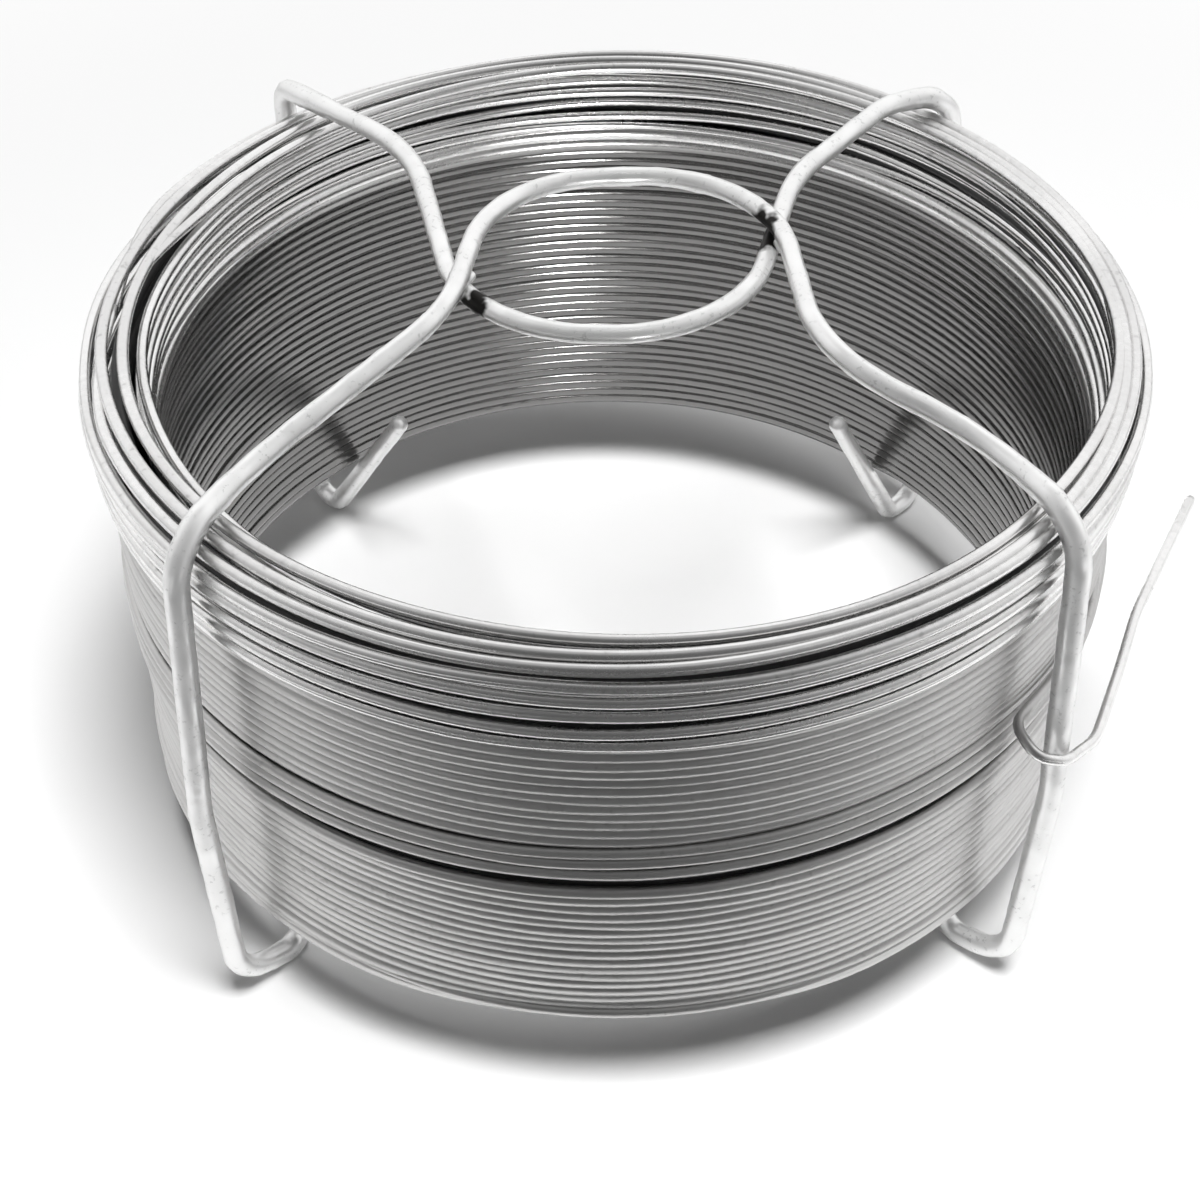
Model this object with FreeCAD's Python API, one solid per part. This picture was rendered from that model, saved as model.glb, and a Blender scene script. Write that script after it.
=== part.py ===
import FreeCAD, Part
import math
import os

# Roll of galvanized steel wire, held by two bent and zinc coated holder wires.
# Millimetres, +Z up. The origin is on the roll's axis, on the surface that the hooks stand on.

# Wire and roll
wire_diameter = 1.0
bore_radius = 42.6
mouth_flare = 0.5
turn_pitch = 1.03
end_layers = 4
seat_gap = 0.05

# A bend takes up at most this share of the run on either side of it
run_share = 0.49

# Thickness of the wound wall, from the foot up. The four at the top are the looser bundles that stand out.
foot_wall = 3.8
waist_low_wall = 4.4
waist_high_wall = 4.5
middle_wall = 4.0
bundle_low_wall = 4.7
bulge_wall = 5.4
bundle_high_wall = 5.1
lip_wall = 4.4

# Bands of the outer wall: turns in the band and its wall
bands = [
    (17, foot_wall),
    (2, waist_low_wall),
    (3, waist_high_wall),
    (12, middle_wall),
    (2, bundle_low_wall),
    (3, bulge_wall),
    (3, bundle_high_wall),
    (1, lip_wall),
]
groove_depth = 0.55
shoulder = 0.6
mouth_turns = 8

# Holder wires. Their legs bow out from the rim, and their hooks hang below the roll and carry its inner bottom edge.
holder_diameter = 1.9
holder_sides = 12
leg_gap = 0.05
leg_bow = 2.0
knee_rise = 16.0
knee_bend = 40.0
foot_splay = 1.75
hook_drop = 8.9
hook_gap = 0.05
hook_tip_rise = 11.2
toe_bend = 2.0
rim_bend = 3.8

# Each wire's left and right leg: angle round the axis, the hook's lean from upright and its outer bend
legs = {
    "front": [(-134.0, 11.0, 5.0), (-41.0, 11.0, 5.0)],
    "back": [(133.0, 35.0, 2.0), (45.0, 31.0, 2.2)],
}

# Ring that the two holder wires make between them over the bore
ring_rise = 3.5
weld_gap = 0.03

# Corners of each wire over the bore, from its left leg to its right one: across, back, bend radius and height.
# The first three are shares of the bore's radius, and the height is a share of the ring's rise over the rim.
plans = {
    "front": [
        (-0.688, -0.606, 0.70, 0.24),
        (-0.331, -0.239, 0.33, 1.0),
        (-0.258, 0.251, 0.31, 1.0),
        (0.333, 0.282, 0.31, 1.0),
        (0.397, -0.385, 0.33, 1.0),
        (0.697, -0.516, 0.60, 0.28),
    ],
    "back": [
        (-0.749, 0.798, 0.28, 0.24),
        (-0.448, 0.453, 0.60, 1.0),
        (-0.296, -0.254, 0.32, 1.0),
        (0.251, -0.256, 0.32, 1.0),
        (0.394, 0.333, 0.60, 1.0),
        (0.648, 0.732, 0.28, 0.42),
    ],
}

# Free end of the wire: behind the front right leg, back around it and away from the roll
end_gap = 0.3
end_rise = 24.0
end_drop = 5.6
end_slope = 0.4
end_bend = 2.0
end_sweep = 40.0
end_spring = 6.5
wire_sides = 8

# Angles of the free end's corners, counted from its leg
end_root = 26.0
end_slip = 11.0
end_turn_back = 1.6
end_past = 4.0
end_settle = 16.0
end_leave = 24.0
end_tip = 43.0

# Worked out from the sizes above
holder_radius = holder_diameter / 2
wire_radius = wire_diameter / 2
side_share = math.pi * 2 / holder_sides
holder_reach = holder_radius * math.sqrt(side_share / math.sin(side_share))
foot_height = holder_reach
roll_foot = foot_height + hook_drop
roll_turns = sum(turns for turns, wall in bands)
roll_top = roll_foot + roll_turns * turn_pitch
roll_radius = bore_radius + max(wall for turns, wall in bands)
leg_radius = roll_radius + leg_gap + holder_radius
knee_height = roll_foot + knee_rise
rim_height = roll_top + seat_gap + holder_reach
ring_height = rim_height + ring_rise


def at(radius, angle, height):
    """A point at a radius and an angle in degrees round the roll's axis."""
    turn = math.radians(angle)
    return FreeCAD.Vector(radius * math.cos(turn), radius * math.sin(turn), height)


def rounded_path(corners):
    """Straight runs joined by tangent arcs. A bend that is too wide for its runs is made as wide as they allow."""
    edges = []
    start = corners[0][0]
    for index in range(1, len(corners) - 1):
        corner, bend = corners[index]
        before = corners[index - 1][0] - corner
        after = corners[index + 1][0] - corner
        room = run_share * min(before.Length, after.Length)
        before.normalize()
        after.normalize()
        half = before.getAngle(after) / 2
        reach = min(bend / math.tan(half), room)
        radius = reach * math.tan(half)
        middle = (before + after).normalize()
        centre = corner + middle * (radius / math.sin(half))
        enter = corner + before * reach
        leave = corner + after * reach
        edges.append(Part.LineSegment(start, enter).toShape())
        edges.append(Part.Arc(enter, centre - middle * radius, leave).toShape())
        start = leave
    edges.append(Part.LineSegment(start, corners[-1][0]).toShape())
    return Part.Wire(edges)


def round_wire(corners, radius, sides):
    """A wire of one radius along a rounded path, with a many-sided section of the round's own area."""
    path = rounded_path(corners)
    start = corners[0][0]
    heading = (corners[1][0] - start).normalize()
    across = heading.cross(FreeCAD.Vector(0, 0, 1)).normalize()
    along = heading.cross(across)
    share = 2 * math.pi / sides
    reach = radius * math.sqrt(share / math.sin(share))
    rim = []
    for side in range(sides + 1):
        turn = share * (side % sides)
        rim.append(start + (across * math.cos(turn) + along * math.sin(turn)) * reach)
    solid = path.makePipeShell([Part.makePolygon(rim)], True, False)
    print("wire length", round(path.Length, 1), "volume", round(solid.Volume, 1))
    return solid


def end_ridges(inner, outer, level, way):
    """The turns that show on one end of the roll, as ridges from the bore to the wall."""
    step = (outer - inner) / end_layers
    points = []
    for layer in range(end_layers):
        points.append((inner + layer * step, level - way * groove_depth))
        points.append((inner + (layer + 0.5) * step, level))
    points.append((outer, level - way * groove_depth))
    return points


def wall_outline():
    """The outer wall from the foot up, one straight band after another with a shoulder or a groove between."""
    points = []
    level = roll_foot
    for index, (turns, wall) in enumerate(bands):
        top = level + turns * turn_pitch
        first = index == 0
        last = index == len(bands) - 1
        points.append((bore_radius + wall, level + (groove_depth if first else shoulder / 2)))
        points.append((bore_radius + wall, top - (groove_depth if last else shoulder / 2)))
        level = top
    return points


def wall_at(height):
    """The outer wall's radius at a height."""
    top = roll_foot
    for turns, wall in bands:
        top += turns * turn_pitch
        if height < top:
            break
    return bore_radius + wall


def leg_at(height):
    """The distance from the axis to a leg's middle at a height, between its knee and the rim."""
    share = min(1.0, (rim_height - height) / (rim_height - knee_height))
    return leg_radius + leg_bow * share


def wire_roll():
    """The wound turns as one turned solid with its bore, and the wire's free end."""
    wall = wall_outline()
    mouth = bore_radius + mouth_flare
    foot_edge = wall[0][0] - groove_depth
    top_edge = wall[-1][0] - groove_depth
    ledge = roll_top - mouth_turns * turn_pitch
    outline = end_ridges(bore_radius, foot_edge, roll_foot, -1)
    outline += wall
    outline += list(reversed(end_ridges(mouth, top_edge, roll_top, 1)))
    outline += [(mouth, ledge), (bore_radius, ledge - wire_radius)]
    corners = [FreeCAD.Vector(radius, 0, height) for radius, height in outline]
    face = Part.Face(Part.makePolygon(corners + [corners[0]]))
    turned = face.revolve(FreeCAD.Vector(0, 0, 0), FreeCAD.Vector(0, 0, 1), 360)
    return turned.fuse(free_end()).Solids[0]


def free_end():
    """The free end's last stretch, tucked behind a leg, bent back round it and sprung away from the roll."""
    leg = legs["front"][1][0]
    high = roll_foot + end_rise
    low = high - end_drop
    wall = wall_at(high)
    behind = (wall + leg_at(high) - holder_radius) / 2
    outside = leg_at(low) + holder_radius + end_gap + wire_radius
    settled = leg_radius + holder_radius + wire_radius
    beside = leg - math.degrees((holder_radius + wire_radius + end_gap) / leg_radius) - end_turn_back
    corners = [
        (at(wall - wire_diameter, leg + end_root, high + end_slope), 0),
        (at(behind, leg + end_slip, high), end_sweep),
        (at(behind, beside, high - end_slope / 2), end_bend),
        (at(outside, beside, low), end_bend),
        (at(outside, leg + end_past, low + end_slope / 2), end_sweep),
        (at(settled, leg + end_settle, low + end_slope), end_sweep),
        (at(settled, leg + end_leave, low + end_slope * 1.5), end_sweep),
        (at(settled + end_spring, leg + end_tip, low + end_slope * 3), 0),
    ]
    return round_wire(corners, wire_radius, wire_sides)


def leg_corners(angle, lean, heel_bend):
    """A leg from its hook's tip: up to the roll's inner bottom edge, under the roll, up past the knee to the rim."""
    tilt = math.radians(lean)
    clear = holder_reach + hook_gap
    edge = bore_radius - clear * math.cos(tilt)
    edge_height = roll_foot - clear * math.sin(tilt)
    tip_height = roll_foot + hook_tip_rise
    toe = edge + (edge_height - foot_height) * math.tan(tilt)
    tip = edge - (tip_height - edge_height) * math.tan(tilt)
    return [
        (at(tip, angle, tip_height), 0),
        (at(toe, angle, foot_height), toe_bend),
        (at(leg_radius + foot_splay, angle, foot_height), heel_bend),
        (at(leg_radius + leg_bow, angle, knee_height), knee_bend),
        (at(leg_radius, angle, rim_height), rim_bend),
    ]


def holder_wire(side, lift):
    """One holder wire: hook, leg, arm, half of the ring, arm, leg and hook."""
    left, right = legs[side]
    over_bore = []
    for across, back, bend, rise in plans[side]:
        height = rim_height + ring_rise * rise + (lift if rise == 1.0 else 0)
        point = FreeCAD.Vector(across * bore_radius, back * bore_radius, height)
        over_bore.append((point, bend * bore_radius))
    corners = leg_corners(*left) + over_bore + list(reversed(leg_corners(*right)))
    return round_wire(corners, holder_radius, holder_sides)


cross_lift = holder_radius + weld_gap / 2
pieces = {
    "wire_roll": wire_roll(),
    "holder_wire_front": holder_wire("front", cross_lift),
    "holder_wire_back": holder_wire("back", -cross_lift),
}

os.makedirs("parts", exist_ok=True)
for name, shape in pieces.items():
    shape.exportStep("parts/" + name + ".step")
    print(name, shape.ShapeType, len(shape.Solids), shape.isValid(), round(shape.Volume, 1), len(shape.Faces))
print("heights of foot, rim and ring", round(roll_foot, 2), round(rim_height, 2), round(ring_height, 2))
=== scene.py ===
import bpy
import math
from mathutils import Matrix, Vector, noise


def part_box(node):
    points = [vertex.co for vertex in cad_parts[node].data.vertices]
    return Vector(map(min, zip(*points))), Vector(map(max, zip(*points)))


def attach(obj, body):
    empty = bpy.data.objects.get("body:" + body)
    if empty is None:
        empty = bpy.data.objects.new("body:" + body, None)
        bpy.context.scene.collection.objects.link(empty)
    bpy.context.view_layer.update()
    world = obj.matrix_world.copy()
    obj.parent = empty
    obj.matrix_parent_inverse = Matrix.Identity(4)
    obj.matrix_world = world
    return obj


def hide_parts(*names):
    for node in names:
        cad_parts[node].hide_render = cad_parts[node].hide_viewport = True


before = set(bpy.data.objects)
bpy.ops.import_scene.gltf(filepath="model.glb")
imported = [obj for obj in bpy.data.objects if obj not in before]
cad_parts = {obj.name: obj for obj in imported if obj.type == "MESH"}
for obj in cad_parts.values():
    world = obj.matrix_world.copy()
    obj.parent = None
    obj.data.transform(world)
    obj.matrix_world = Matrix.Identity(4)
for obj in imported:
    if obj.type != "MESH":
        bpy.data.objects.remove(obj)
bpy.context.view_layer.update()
print("frame loaded")

mm = 0.001
rollLow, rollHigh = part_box("wire_roll")
footLevel = rollLow.z / mm  # underside of the winding, in millimetres
rimLevel = rollHigh.z / mm


# small helpers

def mix(a, b, share):
    return a + (b - a) * share


def smooth(low, high, value):
    share = min(1.0, max(0.0, (value - low) / (high - low)))
    return share * share * (3 - 2 * share)


def wobble(angle, seed, scale=1.0, slow=1.0):
    # closed round the roll, and it changes smoothly from turn to turn
    place = Vector((math.cos(angle) * slow, math.sin(angle) * slow, seed))
    return noise.noise(place) * scale


def deselect():
    if bpy.context.object and bpy.context.object.mode != "OBJECT":
        bpy.ops.object.mode_set(mode="OBJECT")
    bpy.ops.object.select_all(action="DESELECT")


def takeUp(piece):
    deselect()
    piece.select_set(True)
    bpy.context.view_layer.objects.active = piece


def applyAll(piece):
    takeUp(piece)
    for modifier in list(piece.modifiers):
        bpy.ops.object.modifier_apply(modifier=modifier.name)


def finishMesh(piece, name, material):
    takeUp(piece)
    bpy.ops.object.transform_apply(location=True, rotation=True, scale=True)
    bpy.ops.object.mode_set(mode="EDIT")
    bpy.ops.mesh.select_all(action="SELECT")
    bpy.ops.mesh.normals_make_consistent(inside=False)
    bpy.ops.object.mode_set(mode="OBJECT")
    bpy.ops.object.shade_smooth()
    piece.name = name
    piece.data.name = name
    piece.data.materials.clear()
    piece.data.materials.append(material)
    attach(piece, "root")
    return piece


# shader maths

class Link:
    # a socket that takes part in Python expressions
    def __init__(self, tree, socket):
        self.tree = tree
        self.socket = socket

    def maths(self, operation, first, second=None):
        node = self.tree.nodes.new("ShaderNodeMath")
        node.operation = operation
        for place, value in enumerate((first, second)):
            if isinstance(value, Link):
                self.tree.links.new(value.socket, node.inputs[place])
            elif value is not None:
                node.inputs[place].default_value = value
        return Link(self.tree, node.outputs[0])

    def __add__(self, other): return self.maths("ADD", self, other)
    def __radd__(self, other): return self.maths("ADD", other, self)
    def __sub__(self, other): return self.maths("SUBTRACT", self, other)
    def __rsub__(self, other): return self.maths("SUBTRACT", other, self)
    def __mul__(self, other): return self.maths("MULTIPLY", self, other)
    def __rmul__(self, other): return self.maths("MULTIPLY", other, self)
    def __truediv__(self, other): return self.maths("DIVIDE", self, other)
    def __pow__(self, other): return self.maths("POWER", self, other)
    def most(self, other): return self.maths("MAXIMUM", self, other)

    def ramp(self, low, high):
        # nought at low, one at high, eased between
        return Shader.on(self.tree, "ShaderNodeMapRange",
                         {"interpolation_type": "SMOOTHSTEP"},
                         {"Value": self, "From Min": low, "From Max": high})


class Shader:
    # one material's or world's tree, built node by node
    def __init__(self, tree):
        self.tree = tree
        tree.nodes.clear()

    @staticmethod
    def on(tree, kind, settings=None, sockets=None, out=0):
        node = tree.nodes.new(kind)
        for key, value in (settings or {}).items():
            setattr(node, key, value)
        for key, value in (sockets or {}).items():
            if isinstance(value, Link):
                tree.links.new(value.socket, node.inputs[key])
            else:
                node.inputs[key].default_value = value
        return Link(tree, node.outputs[out]) if node.outputs else None

    def node(self, kind, settings=None, sockets=None, out=0):
        return Shader.on(self.tree, kind, settings, sockets, out)

    def colour(self, share, first, second):
        return self.node("ShaderNodeMix", {"data_type": "RGBA"}, {0: share, 6: first, 7: second}, 2)

    def place(self):
        return self.node("ShaderNodeTexCoord", out=3)

    def scaled(self, place, by):
        return self.node("ShaderNodeVectorMath", {"operation": "MULTIPLY"}, {0: place, 1: by})

    def cloud(self, place, scale, detail=2.0, rough=0.5):
        return self.node("ShaderNodeTexNoise", None,
                         {"Vector": place, "Scale": scale, "Detail": detail, "Roughness": rough})

    def near(self, place, point, radius):
        # one at the point, nought at the radius
        away = self.node("ShaderNodeVectorMath", {"operation": "DISTANCE"}, {0: place, 1: point}, 1)
        return 1 - away.ramp(0.0, radius)


def newMaterial(name):
    material = bpy.data.materials.new(name)
    material.use_nodes = True
    return material, Shader(material.node_tree)


# galvanized wire

wireFinish = {
    "bright": (0.95, 0.945, 0.94, 1),
    # random dull tone, and painted shade on the packed turns below the loose top turns
    "dullAndPackedShade": (0.62, 0.615, 0.61, 1),
    # real stain specks, and also painted shade on the bore's packed wall
    "stainAndBoreShade": (0.245, 0.242, 0.239, 1),
    "metallic": 1.0,
    "roughLow": 0.22,
    "roughHigh": 0.32,
    "packedRough": 0.16,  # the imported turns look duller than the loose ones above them
    "inwardSmooth": 0.24,  # the bore's wall is smoother, and its darker colour is painted shade
    "packedTop": (34.0, 35.5),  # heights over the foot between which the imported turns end, millimetres
    "packedOut": (49.0, 51.0),  # distances from the axis past which only the free end lies
    "bore": (43.2, 44.0),
}


def wireMaterial():
    material, shader = newMaterial("galvanized_wire_drawn")
    place = shader.place()
    along = shader.scaled(place, (55.0, 55.0, 950.0))  # long along the turn, short across it
    streak = shader.cloud(along, 1.0, 1.0, 0.6)
    speck = shader.cloud(place, 1500.0, 1.0, 0.5)
    dullness = (streak * 0.75 + speck * 0.25).ramp(0.36, 0.66)
    x = shader.node("ShaderNodeSeparateXYZ", None, {0: place}, 0)
    y = shader.node("ShaderNodeSeparateXYZ", None, {0: place}, 1)
    z = shader.node("ShaderNodeSeparateXYZ", None, {0: place}, 2)
    topLow, topHigh = [(footLevel + height) * mm for height in wireFinish["packedTop"]]
    outNear, outFar = [radius * mm for radius in wireFinish["packedOut"]]
    boreNear, boreFar = [radius * mm for radius in wireFinish["bore"]]
    away = (x * x + y * y) ** 0.5
    packed = (1 - z.ramp(topLow, topHigh)) * (1 - away.ramp(outNear, outFar))
    inward = 1 - away.ramp(boreNear, boreFar)
    stained = (streak * 0.4 + speck * 0.6).ramp(0.62, 0.74) * 0.3
    # painted light and shade: the packed turns take the dull colour, so the loose top turns read lighter; the
    # random dullness is the wire's own tone
    metal = shader.colour((dullness * 0.4).most(packed), wireFinish["bright"], wireFinish["dullAndPackedShade"])
    # painted shade: the bore's packed wall takes the stain colour to darken the recess; the random specks in
    # stained are real stains
    metal = shader.colour(stained.most(inward * packed), metal, wireFinish["stainAndBoreShade"])
    rough = dullness * (wireFinish["roughHigh"] - wireFinish["roughLow"]) + wireFinish["roughLow"]
    rough = rough + packed * (wireFinish["packedRough"] - inward * wireFinish["inwardSmooth"])
    grain = shader.cloud(place, 900.0, 0.0, 0.5)
    bump = shader.node("ShaderNodeBump", None, {"Strength": 0.15, "Distance": 0.00003, "Height": grain})
    surface = shader.node("ShaderNodeBsdfPrincipled", None, {
        "Base Color": metal, "Metallic": wireFinish["metallic"], "Roughness": rough, "Normal": bump})
    shader.node("ShaderNodeOutputMaterial", None, {"Surface": surface})
    return material


# near-black metal for the turns inside the wall: painted shade that darkens the gaps between the visible
# turns
def hiddenShadeMaterial():
    material, shader = newMaterial("galvanized_wire_inside_painted_shade")
    place = shader.place()
    streak = shader.cloud(shader.scaled(place, (55.0, 55.0, 950.0)), 1.0, 2.0, 0.6)
    metal = shader.colour(streak, (0.16, 0.16, 0.16, 1), (0.07, 0.07, 0.07, 1))
    surface = shader.node("ShaderNodeBsdfPrincipled", None, {
        "Base Color": metal, "Metallic": 1.0, "Roughness": streak * 0.3 + 0.4})
    shader.node("ShaderNodeOutputMaterial", None, {"Surface": surface})
    return material


galvanized = wireMaterial()
insideWire = hiddenShadeMaterial()

# windings

winding = {
    "wire": 0.5,  # radius of the wire, millimetres
    "pitch": 1.03,
    "steps": 160,  # steps in a turn
    "sides": 10,
    "denseFoot": 16,
    "densePitch": 1.01,
    "denseThick": 1.5,  # packed turns overlap, so that their grooves are shallow
    "innerThick": 1.8,
    "bulge": 1.2,  # most that a turn's thickness grows across the wall
    "looseThick": 1.08,
    "tuckedThick": 0.7,
    "denseMiddle": 12,
    "footRadius": 46.45,
    "middleRadius": 46.6,
    "outermost": 47.9,
    "bore": 42.6,
    "core": 45.0,  # middle of the wound wall
    "tuck": 0.07,  # share of a turn
    "innerTurns": 41,
    "innerDense": 34,  # turns of the inner wall below its looser mouth
    "mouthPitch": 1.22,
    "mouthFlare": 0.5,
    "mouthShift": 1.5,  # the upper inner turns sit this far to the right
    "shiftFrom": (24.0, 42.0),
    "dense": 1.0,  # pitch of the middle band
    "overWaist": 1.35,
    "footFlare": 0.6,  # the lowest turns stand out at both sides
    "waistTilt": (0.75, 0.2),
    "insideRadius": 44.9,
    "insideWire": 0.62,
    "insideShift": 0.3,
}

# loose turns from the waist and the top: height of the middle above the foot, outer radius, looseness
waistTurns = [
    (17.0, 47.0, 0.5), (18.2, 45.9, 0.3), (19.4, 47.1, 0.7), (20.85, 47.1, 0.9), (21.9, 47.0, 0.7),
]
bundleTurns = [
    (35.2, 47.4, 0.6), (36.7, 47.6, 0.8), (38.6, 47.85, 0.7), (40.4, 47.85, 0.8), (41.6, 47.85, 1.0),
    (42.7, 47.6, 1.0),
]


def outerTable():
    table = []
    for turn in range(winding["denseFoot"]):
        table.append((0.5 + turn * winding["densePitch"], winding["footRadius"], 0.2))
    table += waistTurns
    first = waistTurns[-1][0] + winding["overWaist"]
    for turn in range(winding["denseMiddle"]):
        table.append((first + turn * winding["dense"], winding["middleRadius"], 0.3))
    return table + bundleTurns


def readTable(table, turnAt):
    place = min(max(turnAt, 0.0), len(table) - 1.001)
    low = int(place)
    share = smooth(0.3, 0.7, place - low) * 0.6 + (place - low) * 0.4
    return [mix(a, b, share) for a, b in zip(table[low], table[low + 1])]


def windHelix(name, turns, steps, sides, wire, startAngle, material, line):
    # a small circle screwed round the axis, and then each of its sections is moved onto its own line
    deselect()
    bpy.ops.mesh.primitive_circle_add(vertices=sides, radius=wire * mm, location=(0.04, 0, 0),
                                      rotation=(math.pi / 2, 0, 0))
    piece = bpy.context.object
    bpy.ops.object.transform_apply(location=True, rotation=True, scale=True)
    screw = piece.modifiers.new("turns", "SCREW")
    screw.axis = "Z"
    screw.angle = math.tau
    screw.iterations = turns
    screw.steps = steps
    screw.render_steps = steps
    screw.screw_offset = winding["pitch"] * mm
    screw.use_merge_vertices = False
    applyAll(piece)
    rings = turns * steps + 1
    circle = [(math.cos(math.tau * side / sides), math.sin(math.tau * side / sides)) for side in range(sides)]
    points = piece.data.vertices
    for ring in range(rings):
        turnAt = ring / steps
        angle = startAngle + math.tau * turnAt
        height, radius, shiftX, thick = line(turnAt, angle)
        tucked = 1 - smooth(0.0, winding["tuck"], min(turnAt, turns - turnAt))  # both ends slip into the wall
        radius = mix(radius, winding["core"], tucked)
        thick = mix(thick, winding["tuckedThick"], tucked)
        cosine, sine = math.cos(angle), math.sin(angle)
        for side in range(sides):
            out, up = circle[side]
            reach = (radius + out * wire * min(thick, winding["bulge"])) * mm
            level = min(max(height + up * wire * thick, footLevel), rimLevel)
            points[ring * sides + side].co = (reach * cosine + shiftX * mm, reach * sine, level * mm)
    takeUp(piece)
    bpy.ops.object.mode_set(mode="EDIT")
    bpy.ops.mesh.select_all(action="DESELECT")
    bpy.ops.mesh.select_non_manifold()
    bpy.ops.mesh.fill_holes(sides=0)
    bpy.ops.object.mode_set(mode="OBJECT")
    return finishMesh(piece, name, material)


outer = outerTable()


def outerLine(turnAt, angle):
    height, radius, loose = readTable(outer, turnAt)
    radius += wobble(angle, turnAt * 1.7, 0.30 * loose, 1.6)
    radius += wobble(angle, turnAt * 1.7 + 40, 0.10, 4.0)
    rise = wobble(angle, turnAt * 1.3 + 90, 0.30 * loose, 2.2)
    nearFoot = 1 - smooth(0.0, 4.0, height)
    side = smooth(8.0, 30.0, abs(math.degrees(math.asin(math.cos(angle)))))
    radius += nearFoot * side * winding["footFlare"]
    inWaist = smooth(16.5, 18.5, height) * (1 - smooth(22.0, 25.0, height))
    tilt, lift = winding["waistTilt"]
    rise += inWaist * (tilt * math.cos(angle) + lift)
    radius = min(radius, winding["outermost"])
    thick = mix(winding["denseThick"], winding["looseThick"], smooth(0.25, 0.45, loose))
    return footLevel + height + rise, radius - winding["wire"] * min(thick, winding["bulge"]), 0.0, thick


windHelix("outer_winding", len(outer) - 1, winding["steps"], winding["sides"], winding["wire"],
          math.pi, galvanized, outerLine)
print("outer winding done")


def innerLine(turnAt, angle):
    upper = max(0.0, turnAt - winding["innerDense"])
    height = 0.5 + turnAt * winding["pitch"] + upper * (winding["mouthPitch"] - winding["pitch"])
    flare = smooth(winding["innerDense"], winding["innerDense"] + 1.0, turnAt)
    thick = mix(winding["innerThick"], 1.0, flare)
    radius = winding["bore"] + winding["wire"] * min(thick, winding["bulge"]) + flare * winding["mouthFlare"]
    radius += wobble(angle, turnAt * 1.9 + 200, 0.12 + 0.45 * flare, 1.5)
    radius += wobble(angle, turnAt * 1.9 + 300, 0.06, 5.0)
    height += wobble(angle, turnAt * 1.9 + 400, 0.5 * flare, 1.3)
    shift = winding["mouthShift"] * smooth(*winding["shiftFrom"], height)
    return footLevel + height, radius, shift, thick


windHelix("inner_winding", winding["innerTurns"] - 1, 120, 8, winding["wire"], 0.4, galvanized, innerLine)
print("inner winding done")


def hiddenLine(turnAt, angle):
    height = 1.0 + turnAt * winding["pitch"]
    radius = winding["insideRadius"] + wobble(angle, turnAt * 1.1 + 500, 0.3, 1.5)
    return footLevel + height, radius, winding["insideShift"] * smooth(*winding["shiftFrom"], height), 1.0


# the hidden turns carry painted shade, to darken the gaps between the outer turns
windHelix("hidden_turns", winding["innerTurns"] - 2, 96, 6, winding["insideWire"], 1.0,
          insideWire, hiddenLine)


# the turns that lie on the top end, from the outside in: outer radius, shift to the right, drop below the rim
topTurns = [(47.15, 0.1, 0.6), (46.3, 0.4, 0.1), (44.7, 0.8, 0.05), (43.35, 1.2, 0.1)]


def topLine(turnAt, angle):
    radius, shift, drop = readTable(topTurns, turnAt)
    radius += wobble(angle, turnAt * 2.3 + 700, 0.6, 1.3)
    rise = wobble(angle, turnAt * 2.3 + 800, 0.3, 1.3) - 0.15
    return rimLevel - winding["wire"] - drop + min(rise, 0.0), radius - winding["wire"], shift, 1.1


windHelix("top_turns", len(topTurns) - 1, winding["steps"], winding["sides"], winding["wire"],
          math.pi, galvanized, topLine)

# the turns that lie on the bottom end, from the bore out: outer radius and height over the foot
bottomTurns = [(43.1, 0.3), (44.1, 0.0), (45.1, 0.1), (46.0, 0.2), (46.5, 0.6)]


def bottomLine(turnAt, angle):
    radius, lift = readTable(bottomTurns, turnAt)
    radius += wobble(angle, turnAt * 2.3 + 900, 0.2, 1.3)
    return footLevel + winding["wire"] + lift, radius, 0.0, 1.0


windHelix("bottom_turns", len(bottomTurns) - 1, 120, 8, winding["wire"], 0.0, galvanized, bottomLine)
print("end turns done")

# bent wires

holder = {
    "radius": 0.95,
    "rim": rimLevel + 1.02,
    "ring": rimLevel + 4.5,
    "cross": 0.955,  # each wire passes this far over or under the ring's level
    "legRadius": 49.1,
    "bow": 2.0,
    "kneeHeight": footLevel + 16.0,
    "splay": 1.75,
    "foot": 1.12,
    "legThick": 1.15,  # the coat is thicker on the legs and thinner on the ring
    "ringThick": 0.92,
    "tipRise": 11.0,
    "toeBend": 2.0,
    "kneeBend": 40.0,
    "rimBend": 5.0,
    "step": 0.4,  # length of a section along the wire
    "sides": 16,
    "lump": 0.055,
    "bead": 0.16,
}

# a leg: angle, lean of its hook, the hook's outer bend, and how far its heel sits inward and up
legs = {
    "front": [(-134.0, 11.0, 7.0, 0.5, 1.5), (-42.2, 11.0, 7.0, 0.5, 1.3)],
    "back": [(133.0, 35.0, 2.0, 0.0, 0.0), (45.0, 31.0, 2.2, 0.0, 0.0)],
}

# corners over the bore: across, back, height above the rim (None on the ring), bend
overBore = {
    "front": [(-29.3, -25.8, 0.4, 33.0), (-14.1, -10.2, None, 14.0), (-11.0, 10.7, None, 13.5),
              (14.2, 12.0, None, 13.5), (16.9, -16.4, None, 14.0), (29.7, -22.0, 0.6, 33.0)],
    "back": [(-31.9, 34.0, 0.4, 12.0), (-19.1, 19.3, None, 25.6), (-12.6, -10.8, None, 14.0),
             (10.7, -10.9, None, 14.0), (16.8, 14.2, None, 25.6), (27.6, 31.2, 0.9, 12.0)],
}


def around(radius, degrees, height):
    turn = math.radians(degrees)
    return Vector((radius * math.cos(turn), radius * math.sin(turn), height))


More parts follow.
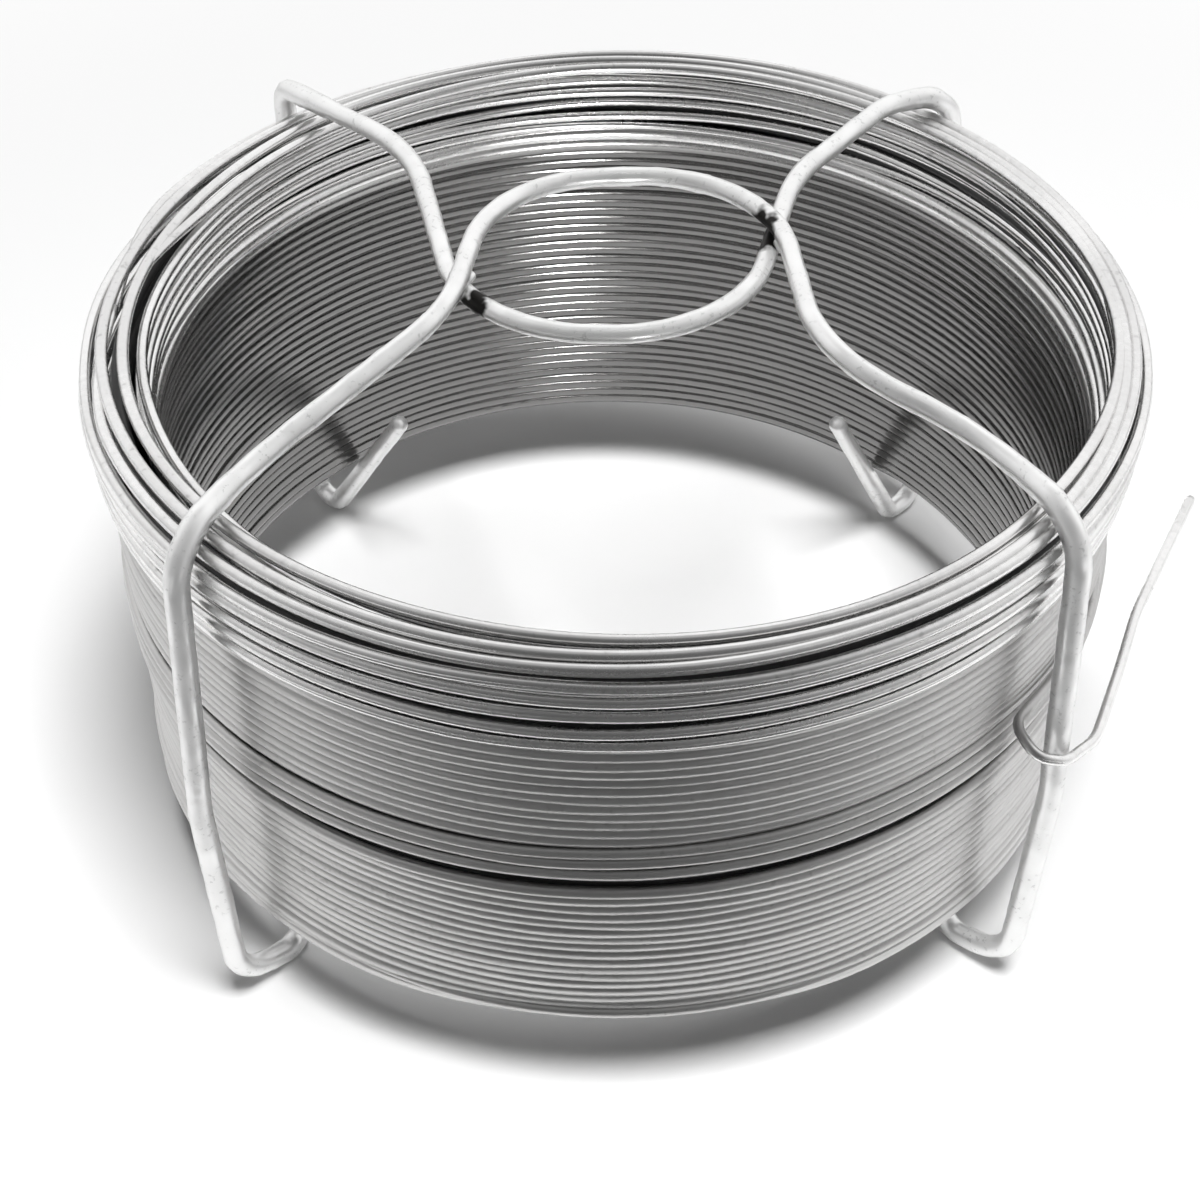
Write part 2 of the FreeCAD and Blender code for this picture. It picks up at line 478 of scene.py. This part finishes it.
def roundedLine(corners, step):
    # points along straight runs joined by arcs that touch both runs
    points = [corners[0][0].copy()]

    def runTo(end):
        start = points[-1]
        count = max(1, round((end - start).length / step))
        for index in range(1, count + 1):
            points.append(start.lerp(end, index / count))

    for index in range(1, len(corners) - 1):
        corner, bend = corners[index]
        before, after = corners[index - 1][0] - corner, corners[index + 1][0] - corner
        room = 0.49 * min(before.length, after.length)
        before.normalize()
        after.normalize()
        half = before.angle(after) / 2
        reach = min(bend / math.tan(half), room)
        radius = reach * math.tan(half)
        middle = (before + after).normalized()
        centre = corner + middle * (radius / math.sin(half))
        runTo(corner + before * reach)
        first = points[-1] - centre
        last = corner + after * reach - centre
        sweep = math.pi - 2 * half
        count = max(3, round(radius * sweep / step))
        for part in range(1, count + 1):
            points.append(centre + first.slerp(last, part / count).normalized() * radius)
    runTo(corners[-1][0])
    return points


def bentWire(name, line, radius, sides, material, thickness=None):
    # a curve with a round bevel, made a mesh
    deselect()
    bpy.ops.curve.primitive_bezier_curve_add()
    piece = bpy.context.object
    curve = piece.data
    curve.splines.clear()
    spline = curve.splines.new("POLY")
    spline.points.add(len(line) - 1)
    for point, place in zip(spline.points, line):
        point.co = (place.x * mm, place.y * mm, place.z * mm, 1)
        point.radius = thickness(place) if thickness else 1.0
    for end in (spline.points[0], spline.points[-1]):
        end.radius *= 0.8
    curve.dimensions = "3D"
    curve.bevel_depth = radius * mm
    curve.bevel_resolution = sides // 4 - 1 if sides >= 8 else 1
    curve.use_fill_caps = True
    takeUp(piece)
    bpy.ops.object.convert(target="MESH")
    piece = bpy.context.object
    piece.location = (0, 0, 0)
    bpy.ops.object.mode_set(mode="EDIT")
    bpy.ops.mesh.select_all(action="SELECT")
    bpy.ops.mesh.remove_doubles(threshold=0.000002)
    bpy.ops.object.mode_set(mode="OBJECT")
    return finishMesh(piece, name, material)


def legLine(degrees, lean, heelBend, heelIn, heelUp):
    tilt = math.radians(lean)
    clear = holder["radius"] + 0.08
    edge = winding["bore"] - clear * math.cos(tilt)
    edgeHeight = footLevel - clear * math.sin(tilt)
    tipHeight = footLevel + holder["tipRise"]
    toe = edge + (edgeHeight - holder["foot"]) * math.tan(tilt)
    tip = edge - (tipHeight - edgeHeight) * math.tan(tilt)
    return [
        (around(tip, degrees, tipHeight), 0),
        (around(toe, degrees, holder["foot"]), holder["toeBend"]),
        (around(holder["legRadius"] + holder["splay"] - heelIn, degrees, holder["foot"] + heelUp), heelBend),
        (around(holder["legRadius"] + holder["bow"], degrees, holder["kneeHeight"]), holder["kneeBend"]),
        (around(holder["legRadius"], degrees, holder["rim"]), holder["rimBend"]),
    ]


def holderLine(side, lift):
    left, right = legs[side]
    corners = legLine(*left)
    for across, back, rise, bend in overBore[side]:
        height = holder["ring"] + lift if rise is None else holder["rim"] + rise
        corners.append((Vector((across, back, height)), bend))
    corners += reversed(legLine(*right))
    return roundedLine(corners, holder["step"])


def coatThickness(place):
    away = math.hypot(place.x, place.y)
    ring = mix(holder["ringThick"], 1.0, smooth(16.0, 24.0, away))
    return ring * mix(1.0, holder["legThick"], smooth(38.0, 46.0, away))


welds = [Vector((-13.2, -3.6, holder["ring"])), Vector((15.3, 1.4, holder["ring"]))]

# burnt places beside the welds: middle and reach
scorches = [(Vector((-11.9, -6.6, holder["ring"] - 0.8)), 3.6), (Vector((13.0, 3.2, holder["ring"])), 5.2)]

zincFinish = {
    "pale": (0.93, 0.93, 0.925, 1),
    "grey": (0.45, 0.45, 0.445, 1),
    "scorch": (0.012, 0.011, 0.01, 1),
    "metallic": 0.75,
    "roughLow": 0.30,
    "roughHigh": 0.50,
}


def zincMaterial():
    material, shader = newMaterial("zinc_dipped_holder")
    place = shader.place()
    patch = shader.cloud(place, 420.0, 3.0, 0.6)
    speck = shader.cloud(place, 2200.0, 2.0, 0.6)
    grey = speck.ramp(0.58, 0.68) * patch.ramp(0.42, 0.60)
    metal = shader.colour(grey * 0.4, zincFinish["pale"], zincFinish["grey"])
    blotch = shader.cloud(place, 1000.0, 1.0, 0.5)
    scorch = None
    for spot, reach in scorches:
        burnt = (shader.near(place, spot * mm, reach * mm) * (blotch + 0.45)).ramp(0.45, 0.72)
        scorch = burnt if scorch is None else scorch.most(burnt)
    metal = shader.colour(scorch, metal, zincFinish["scorch"])
    rough = patch.ramp(0.35, 0.65) * (zincFinish["roughHigh"] - zincFinish["roughLow"])
    rough = rough + zincFinish["roughLow"]
    bump = shader.node("ShaderNodeBump", None,
                       {"Strength": 0.25, "Distance": 0.00004, "Height": patch * 0.7 + speck * 0.3})
    surface = shader.node("ShaderNodeBsdfPrincipled", None, {
        "Base Color": metal, "Metallic": zincFinish["metallic"], "Roughness": rough, "Normal": bump})
    shader.node("ShaderNodeOutputMaterial", None, {"Surface": surface})
    return material


zinc = zincMaterial()


def coatLumps(piece, seed):
    # the dipped coat is thicker in places and stands up in small beads
    for point in piece.data.vertices:
        place = point.co / mm
        swell = noise.noise(place * 0.45 + Vector((seed, 0, 0)))
        bead = noise.noise(place * 1.3 + Vector((0, seed, 0)))
        rise = swell * holder["lump"] + max(0.0, bead - 0.32) * holder["bead"]
        point.co = point.co + point.normal * (rise * mm)


for side, lift in (("front", holder["cross"]), ("back", -holder["cross"])):
    piece = bentWire("holder_" + side, holderLine(side, lift), holder["radius"],
                     holder["sides"], zinc, coatThickness)
    coatLumps(piece, 3.1 if side == "front" else 17.7)
    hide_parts("holder_wire_" + side)
print("holder done")

for number, weld in enumerate(welds):
    deselect()
    bpy.ops.mesh.primitive_uv_sphere_add(segments=24, ring_count=16, radius=0.9 * mm, location=weld * mm)
    nugget = bpy.context.object
    nugget.scale = (1.25, 1.0, 0.75)
    finishMesh(nugget, "weld_" + ("left", "right")[number], zinc)
    for point in nugget.data.vertices:
        point.co = point.co + point.normal * (noise.noise(point.co / mm * 1.6) * 0.25 * mm)

# free end of the wire

freeEnd = {
    "leg": legs["front"][1][0],
    "height": footLevel + 24.0,
    "step": 0.5,
    # corners: distance from the axis, degrees from the leg, height and bend
    "corners": [
        (46.1, 27.0, 0.9, 0.0), (47.9, 12.0, 0.6, 40.0), (47.9, -3.2, 0.5, 1.6),  # behind the leg
        (50.8, -3.9, -0.9, 2.0), (52.4, -1.4, -2.0, 3.0), (52.4, 4.5, -3.6, 8.0),  # back round it
        (50.6, 17.0, -5.0, 40.0), (50.6, 25.0, -4.8, 40.0), (57.0, 44.0, -4.8, 0.0),  # and away
    ],
}


def freeLine():
    corners = []
    for away, degrees, rise, bend in freeEnd["corners"]:
        corners.append((around(away, freeEnd["leg"] + degrees, freeEnd["height"] + rise), bend))
    return roundedLine(corners, freeEnd["step"])


tail = bentWire("free_end", freeLine(), winding["wire"], 12, galvanized)
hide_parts("wire_roll")
print("free end done")

# floor, light and camera

stage = {
    "floor": (0.9, 0.9, 0.9, 1),
    "sky": (1.0, 1.0, 1.0, 1),
    "dark": (0.09, 0.09, 0.09, 1),
    "floorSize": 6.0,
    "floorFade": (0.10, 0.24),  # distances from the middle, metres
    "cardNear": -0.066,  # the card's near edge
    "cardWidth": 0.26,
    "cardLift": 0.002,
    "leftDarker": 0.06,
    "overheadDark": 0.6,
    "softLight": 0.11,
}


def floorMaterial():
    material, shader = newMaterial("studio_floor")
    surface = shader.node("ShaderNodeBsdfPrincipled", None, {
        "Base Color": stage["floor"], "Roughness": 1.0, "Specular IOR Level": 0.0})
    white = shader.node("ShaderNodeEmission", None, {"Color": stage["sky"], "Strength": 1.0})
    middle = shader.node("ShaderNodeVectorMath", {"operation": "LENGTH"}, {0: shader.place()}, 1)
    camera = shader.node("ShaderNodeLightPath", out=0)
    far = camera * middle.ramp(*stage["floorFade"])  # the floor goes over into the white background
    both = shader.node("ShaderNodeMixShader", None, {0: far, 1: surface, 2: white})
    shader.node("ShaderNodeOutputMaterial", None, {"Surface": both})
    return material


deselect()
bpy.ops.mesh.primitive_plane_add(size=stage["floorSize"], location=(0, 0, 0))
floor = bpy.context.object
floor.name = "studio_floor_plane"
floor.data.materials.append(floorMaterial())


# a black card in front of the picture, which only the metal sees
deselect()
bpy.ops.mesh.primitive_plane_add(size=1.0, location=(0, stage["cardNear"] - 0.5, stage["cardLift"]))
card = bpy.context.object
card.name = "studio_black_card"
card.scale.x = stage["cardWidth"]
blackCard, cardShader = newMaterial("studio_black_card")
cardShader.node("ShaderNodeOutputMaterial", None, {"Surface": cardShader.node(
    "ShaderNodeBsdfPrincipled", None, {"Base Color": stage["dark"], "Roughness": 0.8})})
card.data.materials.append(blackCard)
for ray in ("camera", "diffuse", "transmission", "shadow"):
    setattr(card, "visible_" + ray, False)


def skyTree():
    world = bpy.context.scene.world or bpy.data.worlds.new("studio")
    bpy.context.scene.world = world
    world.use_nodes = True
    shader = Shader(world.node_tree)
    direction = shader.node("ShaderNodeTexCoord", out=0)
    x = shader.node("ShaderNodeSeparateXYZ", None, {0: direction}, 0)
    y = shader.node("ShaderNodeSeparateXYZ", None, {0: direction}, 1)
    level = (x * x + y * y) ** 0.5 + 0.15
    z = shader.node("ShaderNodeSeparateXYZ", None, {0: direction}, 2)
    # the studio is dark where the photo was taken from and overhead, and the left is darker than the right
    ahead = (0.0 - y / level - x / level * stage["leftDarker"]).ramp(-0.45, 0.95)
    ahead = ahead.most(z.ramp(0.80, 0.96) * stage["overheadDark"])
    seen = shader.colour(ahead, stage["sky"], stage["dark"])
    camera = shader.node("ShaderNodeLightPath", out=0)
    glossy = shader.node("ShaderNodeLightPath", out=3)
    soft = shader.node("ShaderNodeBackground", None, {"Color": stage["sky"], "Strength": stage["softLight"]})
    mirrored = shader.node("ShaderNodeBackground", None, {"Color": seen, "Strength": 1.0})
    white = shader.node("ShaderNodeBackground", None, {"Color": stage["sky"], "Strength": 1.0})
    light = shader.node("ShaderNodeMixShader", None, {0: glossy, 1: soft, 2: mirrored})
    both = shader.node("ShaderNodeMixShader", None, {0: camera, 1: light, 2: white})
    shader.node("ShaderNodeOutputWorld", None, {"Surface": both})


skyTree()

# place and aim in metres, width, height, power in watts, spread in degrees and whether the metal mirrors it
lamps = {
    "softbox_above": ((0.09, -0.20, 0.86), (0.0, 0.0, 0.03), 0.30, 0.30, 9.0, 180, False),
    "strip_in_bore": ((0.0115, -0.037, 0.040), (-0.005, 0.042, 0.040), 0.005, 0.020, 0.0018, 45, True),
}
for name, (place, aim, width, height, power, spread, mirrored) in lamps.items():
    deselect()
    bpy.ops.object.light_add(type="AREA", location=place)
    lamp = bpy.context.object
    lamp.name = name
    lamp.data.shape = "RECTANGLE"
    lamp.data.size = width
    lamp.data.size_y = height
    lamp.data.energy = power
    lamp.data.spread = math.radians(spread)
    lamp.visible_glossy = mirrored
    lamp.visible_camera = False
    lamp.rotation_euler = (Vector(aim) - lamp.location).to_track_quat("-Z", "Y").to_euler()

view = {
    "target": (-1.22, 0.0, 9.26 + footLevel - 2.0),
    "elevation": 42.62,
    "distance": 211.0,
    "lens": 62.19,
}
tilt = math.radians(view["elevation"])
back = Vector((0, -math.cos(tilt), math.sin(tilt)))
deselect()
bpy.ops.object.camera_add(location=(Vector(view["target"]) + back * view["distance"]) * mm,
                          rotation=(math.pi / 2 - tilt, 0, 0))
camera = bpy.context.object
camera.data.sensor_width = 36.0
camera.data.lens = view["lens"]
camera.data.clip_start = 0.005
bpy.context.scene.camera = camera
bpy.context.scene.view_settings.view_transform = "Standard"
print("stage done")
